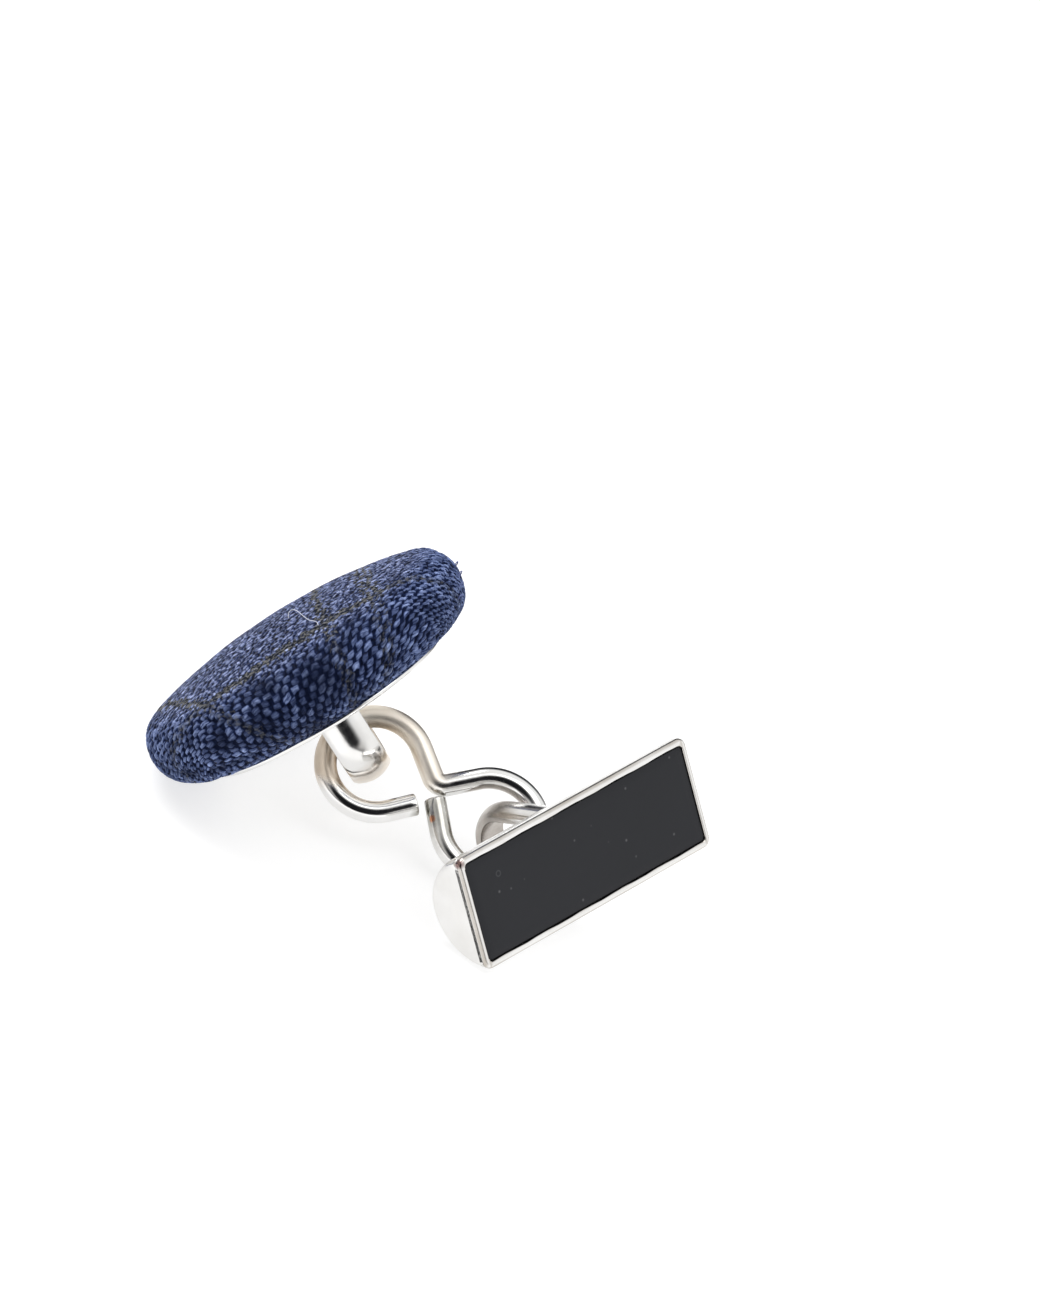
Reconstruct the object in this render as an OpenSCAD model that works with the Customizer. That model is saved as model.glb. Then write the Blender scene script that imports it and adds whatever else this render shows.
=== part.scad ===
// Silk-covered cufflink: a domed cloth button and a silver toggle bar, joined by a figure-eight link.
// The cufflink lies on a level surface at z = 0, on the button's rim, the toggle's shank and corner.
// +X runs to the right of the usual view, +Y away from it and +Z up. All sizes are in millimetres.

/* [Silk button] */
// Widest diameter of the covered button
button_d = 18.2; // [15:0.1:22]
// Radius of the rounded rim
rim_r = 2.1; // [1.6:0.05:2.5]
// Height of the dome's top above the middle of the rim
front_h = 2.8; // [2.5:0.05:3.2]
// Depth of the turned-in cloth below the middle of the rim
back_h = 2.05; // [1.5:0.05:2.05]
// Radius of the shallow front dome
dome_r = 30; // [24:0.5:40]
// Thickness of the cloth with the thin shell that it is wrapped on
cloth_t = 1; // [0.8:0.05:1.2]
// Width of the hole that the turned-in cloth leaves at the back
cloth_hole_d = 12; // [9:0.5:13]

/* [Button back] */
// Diameter of the metal back plate
plate_d = 13.2; // [13.1:0.1:15]
// Thickness of the metal back plate
plate_t = 0.35; // [0.3:0.05:0.6]
// Space between the back plate and the cloth
plate_gap = 0.1; // [0.05:0.05:0.2]

/* [Shanks] */
// Inner radius of the bend in the button's shank
button_shank_r = 1.65; // [1.5:0.05:2]
// Thickness of the button shank's half-round wire
button_shank_t = 0.85; // [0.6:0.05:1]
// Width of the button shank's half-round wire
button_shank_w = 2.2; // [1.6:0.1:2.4]
// Distance from the middle of the rim to the centre of the button shank's bend
button_shank_h = 4.35; // [4.1:0.05:4.6]
// Inner radius of the bend in the toggle's shank
toggle_shank_r = 1.6; // [1.5:0.05:1.9]
// Thickness of the toggle shank's half-round wire
toggle_shank_t = 0.75; // [0.6:0.05:1]
// Width of the toggle shank's half-round wire
toggle_shank_w = 1.7; // [1.4:0.1:2]
// Distance from the toggle's face to the centre of its shank's bend
toggle_shank_h = 5.3; // [5:0.05:5.6]
// Distance of the toggle's shank from the middle of the bar
toggle_shank_off = -0.2; // [-0.4:0.1:0.4]
// Rise of the crown on the outside of both half-round wires
shank_crown = 0.38; // [0.2:0.02:0.5]

/* [Figure-eight link] */
// Diameter of the round link wire
wire_d = 1.15; // [1:0.05:1.2]
// Distance from the neck to the centre of each loop
loop_c = 3.3; // [3.2:0.05:3.6]
// Radius of each loop, to the middle of the wire
loop_r = 2.52; // [2.4:0.02:2.6]
// Radius of the pinched bend at the neck, to the middle of the wire
neck_r = 0.6; // [0.58:0.01:0.7]
// Angle round each loop at which the wire leaves it for the pinched bend
neck_a = 49; // [48:1:51]
// Angle round the button's loop at which its straight end begins
button_end_a = 47; // [44:1:50]
// Length of that straight end
button_end_l = 1.5; // [1.2:0.05:1.6]
// Angle round the toggle's loop at which its straight end begins
toggle_end_a = 38; // [36:1:40]
// Length of that straight end
toggle_end_l = 1.8; // [1.5:0.05:1.8]

/* [Toggle] */
// Length of the D-shaped bar
bar_l = 16; // [14:0.1:18]
// Width of the bar's flat face, twice the radius of its round back
bar_w = 6; // [5:0.1:7]
// Width of the metal lip along the long sides of the inlay
lip_side = 0.38; // [0.3:0.02:0.6]
// Width of the metal lip across the ends of the inlay
lip_end = 0.33; // [0.25:0.02:0.6]
// Depth of the recess for the inlay
recess_h = 0.5; // [0.3:0.05:0.8]
// Radius of the recess's corners
recess_r = 0.25; // [0.15:0.05:0.5]
// Space between the inlay and the metal round and below it
inlay_gap = 0.04; // [0.02:0.01:0.1]
// Depth of the inlay's face below the lip
inlay_drop = 0.08; // [0.04:0.02:0.2]

/* [Pose] */
// Place of the middle of the button's rim
button_pos = [-7.84, 1.38, 7.487]; // [-12:0.001:12]
// Tilt of the button about X, Y and Z
button_rot = [-30, -42.5, 28.5]; // [-180:0.25:180]
// Place of the link's neck
link_pos = [0.26, -0.37, 3.48]; // [-12:0.001:12]
// Tilt of the link about X, Y and Z
link_rot = [43.5, 8, -8]; // [-180:0.25:180]
// Place of the middle of the toggle's face
toggle_pos = [8.51, -3.72, 4.815]; // [-12:0.001:12]
// Tilt of the toggle about X, Y and Z
toggle_rot = [61.5, -13.75, 54.5]; // [-180:0.25:180]

/* [Hidden] */
$fn = 64;
silk = [0.17, 0.21, 0.43];
silver = [0.82, 0.81, 0.79];
charcoal = [0.2, 0.2, 0.22];
// Overlap that joins one shape into the next
sink = 0.6;
// Room that a cutting shape has past the shape that it cuts
over = 1;
wire_r = wire_d / 2;
// Middle of the rim's round section
rim_c = button_d / 2 - rim_r;
// Sides of the link wire's section, and the angle between its rings round a bend
wire_sides = 12;
wire_step = 8;
// Length of the straight wire between a loop and the pinched bend, tangent to both
neck_l = (loop_c - (loop_r + neck_r) * cos(neck_a)) / sin(neck_a);
// Height of the pinched bend's centre over the link's long axis
neck_c = (loop_r + neck_r) * sin(neck_a) - neck_l * cos(neck_a);

// Stations [x, y, heading] of a bend of radius r about [x, y], from angle a to angle b
function bend(x, y, r, a, b) =
    let (count = ceil(abs(b - a) / wire_step), turn = sign(b - a))
        [for (i = [0:count]) let (t = a + (b - a) * i / count)
            [x + r * cos(t), y + r * sin(t), t + turn * 90]];

// The station s moved along its heading by a length
function ahead(s, length) = [s[0] + length * cos(s[2]), s[1] + length * sin(s[2]), s[2]];

// Point of the wire's skin at station s, at an angle round the wire
function wire_point(s, angle) =
    [s[0] - wire_r * cos(angle) * sin(s[2]), s[1] + wire_r * cos(angle) * cos(s[2]), wire_r * sin(angle)];

// The wire's middle line: cut end, button's loop, pinched bend, toggle's loop, cut end
button_loop = bend(-loop_c, 0, loop_r, -button_end_a, neck_a - 360);
neck_bend = bend(0, neck_c, neck_r, 180 + neck_a, 360 - neck_a);
toggle_loop = bend(loop_c, 0, loop_r, 180 - neck_a, toggle_end_a - 180);
link_path = concat(
    [ahead(button_loop[0], -button_end_l)],
    button_loop,
    neck_bend,
    toggle_loop,
    [ahead(toggle_loop[len(toggle_loop) - 1], toggle_end_l)]);

// Half of the button's section, drawn to the right of its axis, with its wall moved in by inset
module button_section(inset) {
    intersection() {
        translate([0, front_h - dome_r])
            circle(dome_r - inset, $fn = 256);
        translate([0, inset - back_h])
            square([button_d, back_h + front_h]);
        union() {
            translate([rim_c, 0])
                circle(rim_r - inset);
            translate([0, -rim_r])
                square([rim_c, rim_r + front_h]);
        }
    }
}

// Silk wrapped over the button's dome and rim and turned in at its back
module silk_cover() {
    color(silk)
        on_button()
            rotate_extrude($fn = 128)
                difference() {
                    button_section(0);
                    button_section(cloth_t);
                    translate([0, -back_h - over])
                        square([cloth_hole_d / 2, cloth_t + 2 * over]);
                }
}

// Section of half-round wire: flat towards the bend's centre and crowned on its outer side
module half_round(r_in, thick, width) {
    crown_r = (width * width / 4 + shank_crown * shank_crown) / (2 * shank_crown);
    intersection() {
        translate([r_in, -width / 2])
            square([thick, width]);
        translate([r_in + thick - crown_r, 0])
            circle(crown_r, $fn = 96);
    }
}

// Staple of half-round wire that stands down from z = 0, with its hole along X
module shank(r_in, thick, width, centre_h, foot_h) {
    translate([0, 0, -centre_h])
        rotate([180, 0, 90]) {
            rotate([90, 0, 0])
                rotate_extrude(angle = 180, $fn = 96)
                    half_round(r_in, thick, width);
            for (side = [0, 1])
                mirror([side, 0, 0])
                    translate([0, 0, foot_h - centre_h])
                        linear_extrude(centre_h - foot_h)
                            half_round(r_in, thick, width);
        }
}

// Metal back plate of the button with its shank soldered on
module button_back() {
    plate_z = back_h + plate_gap;
    color(silver)
        on_button() {
            translate([0, 0, -plate_z - plate_t / 2])
                rotate_extrude($fn = 128) {
                    translate([plate_d / 2 - plate_t / 2, 0])
                        circle(plate_t / 2);
                    translate([0, -plate_t / 2])
                        square([plate_d / 2 - plate_t / 2, plate_t]);
                }
            shank(button_shank_r, button_shank_t, button_shank_w, button_shank_h, plate_z + plate_t / 2);
        }
}

// Link bent from one round wire: two loops, a pinched bend on one side and two cut ends on the other
module figure_eight_link() {
    last = len(link_path) - 1;
    rings = [for (p = link_path, k = [0:wire_sides - 1]) wire_point(p, k * 360 / wire_sides)];
    walls = [for (i = [0:last - 1], k = [0:wire_sides - 1])
        let (n = (k + 1) % wire_sides, a = i * wire_sides, b = a + wire_sides)
            [a + k, b + k, b + n, a + n]];
    first_end = [for (k = [0:wire_sides - 1]) k];
    last_end = [for (k = [wire_sides - 1:-1:0]) last * wire_sides + k];
    color(silver)
        on_link()
            polyhedron(rings, concat([first_end], walls, [last_end]), convexity = 6);
}

// Rectangle with round corners, about the origin
module rounded_rectangle(length, width, r) {
    square([length - 2 * r, width], center = true);
    square([length, width - 2 * r], center = true);
    for (x = [-1, 1], y = [-1, 1])
        translate([x * (length / 2 - r), y * (width / 2 - r)])
            circle(r, $fn = 32);
}

// D-shaped bar with a recessed flat face and its shank soldered on
module toggle_bar() {
    color(silver)
        on_toggle() {
            difference() {
                rotate([0, 90, 0])
                    cylinder(h = bar_l, r = bar_w / 2, center = true, $fn = 128);
                translate([-bar_l, -bar_w, 0])
                    cube([2 * bar_l, 2 * bar_w, bar_w]);
                translate([0, 0, -recess_h])
                    linear_extrude(recess_h + over)
                        rounded_rectangle(bar_l - 2 * lip_end, bar_w - 2 * lip_side, recess_r);
            }
            translate([toggle_shank_off, 0, 0])
                shank(toggle_shank_r, toggle_shank_t, toggle_shank_w, toggle_shank_h,
                    bar_w / 2 - 2 * sink);
        }
}

// Charcoal inlay that fills the recess in the toggle's face
module toggle_inlay() {
    edge = 2 * inlay_gap;
    color(charcoal)
        on_toggle()
            translate([0, 0, inlay_gap - recess_h])
                linear_extrude(recess_h - inlay_gap - inlay_drop)
                    rounded_rectangle(bar_l - 2 * lip_end - edge, bar_w - 2 * lip_side - edge,
                        recess_r - inlay_gap);
}

// Each child stands in its own axes: its front faces +Z, and the shank holes run along X
module on_button() {
    translate(button_pos)
        rotate(button_rot)
            children();
}

module on_link() {
    translate(link_pos)
        rotate(link_rot)
            children();
}

module on_toggle() {
    translate(toggle_pos)
        rotate(toggle_rot)
            children();
}

silk_cover();
button_back();
figure_eight_link();
toggle_bar();
toggle_inlay();
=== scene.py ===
import math

import bmesh
import bpy
import numpy as np
from mathutils import Euler, Matrix, Vector


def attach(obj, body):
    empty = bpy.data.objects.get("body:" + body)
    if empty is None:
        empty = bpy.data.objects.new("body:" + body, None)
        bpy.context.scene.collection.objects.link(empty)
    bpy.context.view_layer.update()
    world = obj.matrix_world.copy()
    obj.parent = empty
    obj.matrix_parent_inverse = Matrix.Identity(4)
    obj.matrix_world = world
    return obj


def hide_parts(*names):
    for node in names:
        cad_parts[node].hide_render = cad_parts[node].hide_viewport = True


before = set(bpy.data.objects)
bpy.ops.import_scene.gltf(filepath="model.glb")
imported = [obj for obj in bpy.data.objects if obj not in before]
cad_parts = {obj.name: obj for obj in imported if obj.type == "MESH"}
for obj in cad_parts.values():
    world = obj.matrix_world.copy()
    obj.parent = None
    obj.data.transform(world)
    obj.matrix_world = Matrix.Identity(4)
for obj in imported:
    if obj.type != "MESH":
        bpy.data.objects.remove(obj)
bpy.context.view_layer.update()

# Sizes, in millimetres and degrees, as in the construction
MM = 0.001
# Button: its round rim, its faces' heights, its dome and the opening in the turned-in cloth
RIM_C, RIM_R = 7.0, 2.1
FRONT_H, BACK_H, DOME_R = 2.8, 2.05, 30.0
CLOTH_HOLE_R = 6.0
# Where the dome ends, between which angles the rim's section turns, and where the flat back starts
DOME_END_R, RIM_FROM_A, RIM_TO_A, BACK_START_R = 8.05, 44, -77, 7.3
PLATE_R, PLATE_T, PLATE_GAP = 6.6, 0.35, 0.1
# Shanks: half-round staples, crowned on the outside
BUTTON_SHANK = dict(r_in=1.65, thick=0.85, width=2.2, centre_h=4.35)
TOGGLE_SHANK = dict(r_in=1.6, thick=0.75, width=1.7, centre_h=5.3)
TOGGLE_SHANK_OFF = -0.2
SHANK_CROWN, SHANK_SOFT = 0.38, 0.1
SOLDER_SPREAD = 0.22
# Link: round wire in two loops, with a pinched neck and two straight ends
WIRE_R, LOOP_C, LOOP_R, NECK_R = 0.575, 3.3, 2.52, 0.6
NECK_A, BUTTON_END_A, TOGGLE_END_A = 49, 47, 38
BUTTON_END_L, TOGGLE_END_L = 1.5, 1.8
# Bar: half-round, with a lip round the recess in its face, and the inlay
BAR_L, BAR_R = 16.0, 3.0
LIP_SIDE, LIP_END = 0.38, 0.33
RECESS_H, RECESS_R = 0.5, 0.25
INLAY_GAP, INLAY_DROP = 0.04, 0.08
# Softened edges of the bar: round its face, at its corners, on its lip and inside the lip
BAR_EDGE_R, BAR_CORNER_R, LIP_R, LIP_SOFT = 0.2, 0.5, 0.2, 0.07
# The curve inside the lip: out from the recess's wall and down from the face, in shares of LIP_SOFT
LIP_CURVE = ((1, 0), (0.55, 0.12), (0.1, 0.5), (0, 1))
# The recess's long walls stray by two waves each: a slow one and its start, a quick one and its start
WALL_WAVES = ((2.3, 1, 5.9, 0), (1.9, 2, 6.7, 1))
# The solder seam below the lip: its angle round the bar's back, and its depth
SEAM_A, SEAM_H = 8.4, 0.05
# A faint ring on the inlay: its place in the bar's axes, its radius and its line
RING_MARK, RING_MARK_R, RING_MARK_W = (-5.7, 1.35, -INLAY_DROP), 0.14, 0.05


def placed(pos, rot):
    """Matrix from a piece's own axes, in millimetres, to the frame, in metres."""
    turn = Euler([math.radians(a) for a in rot], "XYZ").to_matrix().to_4x4()
    return Matrix.Scale(MM, 4) @ Matrix.Translation(pos) @ turn


def at(matrix, x, y, z):
    """Place in the frame, in metres, of a place in a piece's own axes."""
    return tuple(matrix @ Vector((x, y, z)))


def neutral(value):
    """A colour without a hue."""
    return (value, value, value)


BUTTON = placed((-7.84, 1.38, 7.487), (-30, -42.5, 28.5))
LINK = placed((0.26, -0.37, 3.48), (43.5, 8, -8))
TOGGLE = placed((8.51, -3.72, 4.815), (61.5, -13.75, 54.5))

# Colours, linear
SILVER, SILVER_DULL = (0.86, 0.855, 0.845), (0.76, 0.75, 0.73)
WARM, WARM_DARK = (0.81, 0.72, 0.61), (0.60, 0.51, 0.42)
PALE_WARM, PALE_WARM_DARK = (0.93, 0.87, 0.78), (0.78, 0.71, 0.62)
GREY, GREY_DARK, GREY_GREEN = (0.60, 0.56, 0.52), (0.32, 0.295, 0.27), (0.36, 0.35, 0.31)
# Colour of the darker lines along the bar's lip edges
EDGE_DARK = (0.44, 0.40, 0.35)
COPPER, SOLDER_MARK = (0.52, 0.24, 0.13), (0.25, 0.17, 0.16)
INLAY_LOW, INLAY_HIGH = (0.0165, 0.0175, 0.0210), (0.0215, 0.0225, 0.0265)
INLAY_DOT, INLAY_RING = (0.22, 0.22, 0.23), (0.16, 0.17, 0.18)
LINT_WHITE, THREAD_BLUE = (0.75, 0.78, 0.86), (0.12, 0.15, 0.36)
FLOOR_WHITE, FLOOR_GLOW = 0.42, 0.72
# The silk's colour from the sunken floats up to the middles of the light floats: the two threads' own tones,
# and painted shading that darkens each light float towards its ends and sides
SILK_TONES_AND_SHADING = ((0.0, (0.0045, 0.0085, 0.031)), (0.3, (0.013, 0.021, 0.060)),
              (0.65, (0.050, 0.068, 0.156)), (1.0, (0.138, 0.170, 0.305)))
# The silk's painted shade colour, mixed over the creases, the gathered places and the rim, and the tint of its
# sheen
SILK_PAINTED_SHADE, SILK_SHEEN = (0.0035, 0.0065, 0.024), (0.6, 0.7, 1.0)
PANE_TONES = ((0.48, (0.006, 0.008, 0.013)), (0.62, (0.150, 0.150, 0.145)))
# Factors on the silk's colour: on the rim, from float to float, along the fibres, in streaks, in patches
RIM_TINT = (0.95, 1.05, 1.16)
FLOAT_TONES = ((0.0, (0.34, 0.36, 0.42)), (0.5, (0.90, 0.90, 0.92)), (1.0, (1.75, 1.68, 1.56)))
FIBRE_TONES = ((0.34, (0.30, 0.33, 0.42)), (0.66, (1.80, 1.74, 1.60)))
STREAK_TONES = ((0.44, (0.05, 0.08, 0.17)), (0.56, (1.60, 1.59, 1.54)))
PATCH_TONES = ((0.35, (0.93, 0.94, 0.95)), (0.65, (1.06, 1.05, 1.04)))
# Tones of the light tent from the horizon to the zenith, and its patches
TENT_WALL = ((0.0, neutral(0.25)), (0.1, (0.60, 0.59, 0.58)), (0.5, neutral(0.85)), (1.0, neutral(1.0)))
TENT_PATCHES = (dict(way=(-1, 0.1, 0.25), full=20, none=55, colour=(0.70, 0.66, 0.61)),
                dict(way=(1, 0, 0.25), full=22, none=48, colour=neutral(1.08)),
                dict(way=(0, 1, 0.25), full=24, none=46, colour=(0.03, 0.03, 0.035)),
                dict(way=(0, -0.886, 0.463), full=21, none=37, colour=(0.01, 0.01, 0.012)))
LIGHT_DISTANCE = 0.5
LIGHTS = (dict(name="key", way=(-0.55, 0.2, 0.8), size=0.28, power=1.6),
          dict(name="fill", way=(0.3, -0.3, 0.9), size=0.3, power=0.35))


# Mesh helpers
def new_object(name, mesh):
    obj = bpy.data.objects.new(name, mesh)
    bpy.context.scene.collection.objects.link(obj)
    return obj


def new_mesh(name, points, faces, matrix):
    """A smooth object whose points, in a piece's own axes, are put where matrix says."""
    m = np.array(matrix)
    pts = np.asarray(points, float) @ m[:3, :3].T + m[:3, 3]
    mesh = bpy.data.meshes.new(name)
    mesh.from_pydata(pts.tolist(), [], faces)
    mesh.polygons.foreach_set("use_smooth", [True] * len(mesh.polygons))
    mesh.update()
    return new_object(name, mesh)


def grid_faces(rows, cols, start):
    """Quads between closed rings of points."""
    return [(start + i * cols + j, start + i * cols + (j + 1) % cols,
             start + (i + 1) * cols + (j + 1) % cols, start + (i + 1) * cols + j)
            for i in range(rows - 1) for j in range(cols)]


def full_turn(count):
    """Equal steps round a full turn, in radians."""
    return np.linspace(0, 2 * math.pi, count, endpoint=False)


class Shape:
    """Collects closed tubes through rings of points."""

    def __init__(self):
        self.points = []
        self.faces = []

    def tube(self, rings):
        """Adds a tube with flat ends through rings of equal length."""
        start, rows, cols = len(self.points), len(rings), len(rings[0])
        last = start + (rows - 1) * cols
        for ring in rings:
            self.points.extend([tuple(p) for p in ring])
        self.faces.extend(grid_faces(rows, cols, start))
        self.faces.append(tuple(range(start + cols - 1, start - 1, -1)))
        self.faces.append(tuple(range(last, last + cols)))

    def build(self, name, matrix, sharp=40):
        """The object: normals outward, smooth across edges under sharp degrees, flat on its ends."""
        obj = new_mesh(name, self.points, self.faces, matrix)
        bm = bmesh.new()
        bm.from_mesh(obj.data)
        bmesh.ops.recalc_face_normals(bm, faces=bm.faces)
        for face in bm.faces:
            face.smooth = len(face.verts) < 5
        for edge in bm.edges:
            if len(edge.link_faces) == 2 and edge.calc_face_angle(0) > math.radians(sharp):
                edge.smooth = False
        bm.to_mesh(obj.data)
        bm.free()
        return obj


# Node helpers
def new_material(name):
    mat = bpy.data.materials.new(name)
    mat.use_nodes = True
    tree = mat.node_tree
    return mat, tree, tree.nodes["Principled BSDF"]


def fill(tree, node, inputs):
    """Links or sets a node's inputs."""
    for key, value in inputs.items():
        if isinstance(value, bpy.types.NodeSocket):
            tree.links.new(value, node.inputs[key])
        else:
            node.inputs[key].default_value = value


def add(tree, kind, inputs=None, **props):
    node = tree.nodes.new(kind)
    for key, value in props.items():
        setattr(node, key, value)
    fill(tree, node, inputs or {})
    return node


def calc(tree, operation, *values):
    return add(tree, "ShaderNodeMath", dict(enumerate(values)), operation=operation).outputs[0]


def vector(tree, operation, *values, out="Vector"):
    return add(tree, "ShaderNodeVectorMath", dict(enumerate(values)), operation=operation).outputs[out]


def noise(tree, place, scale, detail=2.0, roughness=0.5, out="Fac"):
    values = {"Vector": place, "Scale": scale, "Detail": detail, "Roughness": roughness}
    return add(tree, "ShaderNodeTexNoise", values).outputs[out]


def object_place(tree):
    """Place in the frame, in metres."""
    return add(tree, "ShaderNodeTexCoord").outputs["Object"]


def fall(tree, value, none, full, top=1.0, **props):
    """0 where value is none, and top where it is full."""
    values = {"Value": value, "From Min": none, "From Max": full, "To Max": top}
    return add(tree, "ShaderNodeMapRange", values, **props).outputs[0]


def bump(tree, height, strength, distance):
    values = {"Height": height, "Strength": strength, "Distance": distance}
    return add(tree, "ShaderNodeBump", values).outputs["Normal"]


def ramp(tree, source, stops):
    node = add(tree, "ShaderNodeValToRGB", {"Fac": source})
    elements = node.color_ramp.elements
    while len(elements) < len(stops):
        elements.new(0.5)
    for element, (position, colour) in zip(elements, stops):
        element.position = position
        element.color = (*colour, 1)
    return node.outputs["Color"]


def mix(tree, factor, a, b, blend="MIX"):
    """Mixes two colours, each a socket or a plain colour."""
    node = add(tree, "ShaderNodeMix", {0: factor}, data_type="RGBA", blend_type=blend)
    for socket, value in ((6, a), (7, b)):
        fill(tree, node, {socket: value if isinstance(value, bpy.types.NodeSocket) else (*value, 1)})
    return node.outputs[2]


# Silk: light floats along X between sunken dark ones, offset by half from row to row
FLOAT_PITCH, ROW_PITCH = 0.66, 0.37
# How far the rows stray along themselves, and how far each float leans over its row
ROW_STRAY, LEAN = 0.12, -0.06
# Pairs of values on the dome and on the rim: the share of the surface that the light floats take up, how far
# the threads stray, how much the floats differ, and how strong the streaks and the windowpane are
SHARE, STRAY, DIFFER, STREAKS, PANE = (0.86, 0.70), (0.36, 0.30), (0.55, 0.95), (0.9, 0.1), (0.95, 0.40)
SHARE_SPREAD = 0.20
# Where the rim starts, as a distance over the cloth, and over how far it takes over from the dome
RIM_START, RIM_SPAN = 7.4, 1.6
# Height of the weave, on the dome and on the rim, and of the lumps under the cloth
CELL_RISE, LUMP_RISE = (0.056, 0.16), (0.014, 0.035)
# The rows bow on the side that faces the viewer
ROW_BOW, ROW_BOW_Y = 0.055, -7.45
RINGS, SPOKES = 152, 650
# Noise over the cloth, in waves for each millimetre: that along the rows and across them, and plain noise
FIBRE_SCALE, STREAK_SCALE = (2.4, 8.5, 1), (4.6, 2.1, 1)
STRAY_SCALE, PATCH_SCALE, FLECK_SCALE = 2.0, 0.4, 4.5
# Windowpane lines across the rows: where each meets the X axis, how it leans with Y, and half its width
CROSS_LINES = (dict(at=2.28, lean=0.03, half=0.17), dict(at=4.68, lean=0.0, half=0.08),
               dict(at=5.05, lean=0.0, half=0.08), dict(at=-6.95, lean=-0.26, half=0.20))
# Windowpane lines along the rows: their place on the Y axis, and half their width
ROW_LINES = (dict(at=-6.50, half=0.36), dict(at=3.9, half=0.20))
# How softly the lines end at their sides, and how far the threads cross over there
PANE_BLUR, PANE_RAGGED = 0.16, 1.9
# Gathered places on the rim, painted dark as shade: distance over the cloth from its middle, angle and size
PAINTED_SHADE_PLACES = (dict(out=8.9, angle=-103, size=1.2), dict(out=10.2, angle=-125, size=0.9),
               dict(out=9.4, angle=-84, size=0.9), dict(out=11.0, angle=-97, size=0.7),
               dict(out=11.2, angle=-150, size=0.8))
# The whole rim is painted in soft shade, most of all in the middle of the side that faces the viewer
RIM_SHADE, SHADE_X, SHADE_W = 0.45, -0.5, 4.5
# Creases in the gathered cloth, each through places (distance over the cloth, angle)
CREASES = (((9.0, -128), (10.3, -114), (11.6, -105)), ((11.75, -142), (11.9, -130), (12.0, -119)),
           ((9.9, -168), (11.0, -158), (11.7, -150)))
CREASE_W, CREASE_DEPTH = 0.22, 0.16


def dome_height(square):
    """Height of the dome at a squared distance from its axis."""
    return FRONT_H - DOME_R + math.sqrt(DOME_R ** 2 - square)


def button_profile(count):
    """Distance over the cloth, radius, height and outward normal, from the dome's top to the turned-in edge."""
    fine = [(r, dome_height(r * r)) for r in np.linspace(0, DOME_END_R, 200)]
    for a in np.radians(np.linspace(RIM_FROM_A, RIM_TO_A, 160)):
        fine.append((RIM_C + RIM_R * math.cos(a), RIM_R * math.sin(a)))
    fine += [(r, -BACK_H) for r in np.linspace(BACK_START_R, CLOTH_HOLE_R, 20)]
    fine = np.array(fine)
    step = np.r_[0, np.cumsum(np.hypot(*np.diff(fine, axis=0).T))]
    place = np.linspace(0, step[-1], count)
    r = np.interp(place, step, fine[:, 0])
    h = np.interp(place, step, fine[:, 1])
    # A running mean rounds the corners of the section
    kernel = np.ones(5) / 5
    r[2:-2], h[2:-2] = np.convolve(r, kernel, "valid"), np.convolve(h, kernel, "valid")
    dr, dh = np.gradient(r), np.gradient(h)
    size = np.hypot(dr, dh)
    return place, r, h, -dh / size, dr / size


def on_cloth(out, angle):
    """Place on the flat cloth from the distance from its middle and the angle."""
    return out * math.cos(math.radians(angle)), out * math.sin(math.radians(angle))


def distance_to_path(x, y, path):
    """Distance of x, y from the nearest point of a path of places (distance, angle)."""
    spots = [on_cloth(*p) for p in path]
    near = np.full_like(x, 1e9)
    for (ax, ay), (bx, by) in zip(spots[:-1], spots[1:]):
        dx, dy = bx - ax, by - ay
        t = np.clip(((x - ax) * dx + (y - ay) * dy) / (dx * dx + dy * dy), 0, 1)
        near = np.minimum(near, np.hypot(x - ax - t * dx, y - ay - t * dy))
    return near


def blend(pair, rim):
    """Value between that on the dome and that on the rim."""
    return pair[0] + (pair[1] - pair[0]) * rim


def weave(x, y, share):
    """Height of the woven surface at cloth place x, y, where light floats take up share of it."""
    row = np.floor(y / ROW_PITCH)
    v = 2 * (y / ROW_PITCH - row) - 1
    along = x / FLOAT_PITCH + 0.5 * np.mod(row, 2) + ROW_STRAY * np.sin(2.4 * row) + LEAN * v
    u = 2 * np.abs(along - np.round(along))
    raised = (np.clip(1 - (u / share) ** 4, 0, 1) * np.clip(1 - np.abs(v) ** 3, 0, 1)) ** 0.5
    sunken = 0.3 * np.clip(1 - ((1 - u) / (1 - share)) ** 2, 0, 1) ** 0.5 * (1 - 0.25 * v * v)
    return np.where(u < share, np.maximum(raised, 0.12), sunken)


def creases_and_shade(x, y, rim):
    """How deep the creases are, and the painted shade in them, in the gathered places and over the rim, at
    cloth place x, y.
    """
    crease = np.zeros_like(x)
    for path in CREASES:
        crease = np.maximum(crease, np.exp(-(distance_to_path(x, y, path) / CREASE_W) ** 2))
    # Painted shade in the creases
    shade = 0.9 * crease
    # Painted shade in the gathered places, with ragged edges
    ragged = 1 + 0.3 * np.sin(3.1 * x + 2 * y) + 0.15 * np.sin(7.3 * y - 5.1 * x)
    for spot in PAINTED_SHADE_PLACES:
        cx, cy = on_cloth(spot["out"], spot["angle"])
        shade = np.maximum(shade, np.exp(-((x - cx) ** 2 + (y - cy) ** 2) / (spot["size"] * ragged) ** 2))
    # Painted shade over the rim, strongest in the middle of the side that faces the viewer
    middle = 0.35 + 1.2 * np.exp(-((x - SHADE_X) / SHADE_W) ** 2)
    uneven = 1 + 0.6 * np.sin(1.3 * x + 0.5) * np.sin(1.1 * y)
    return crease, np.maximum(shade, RIM_SHADE * rim * middle * uneven)


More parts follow.
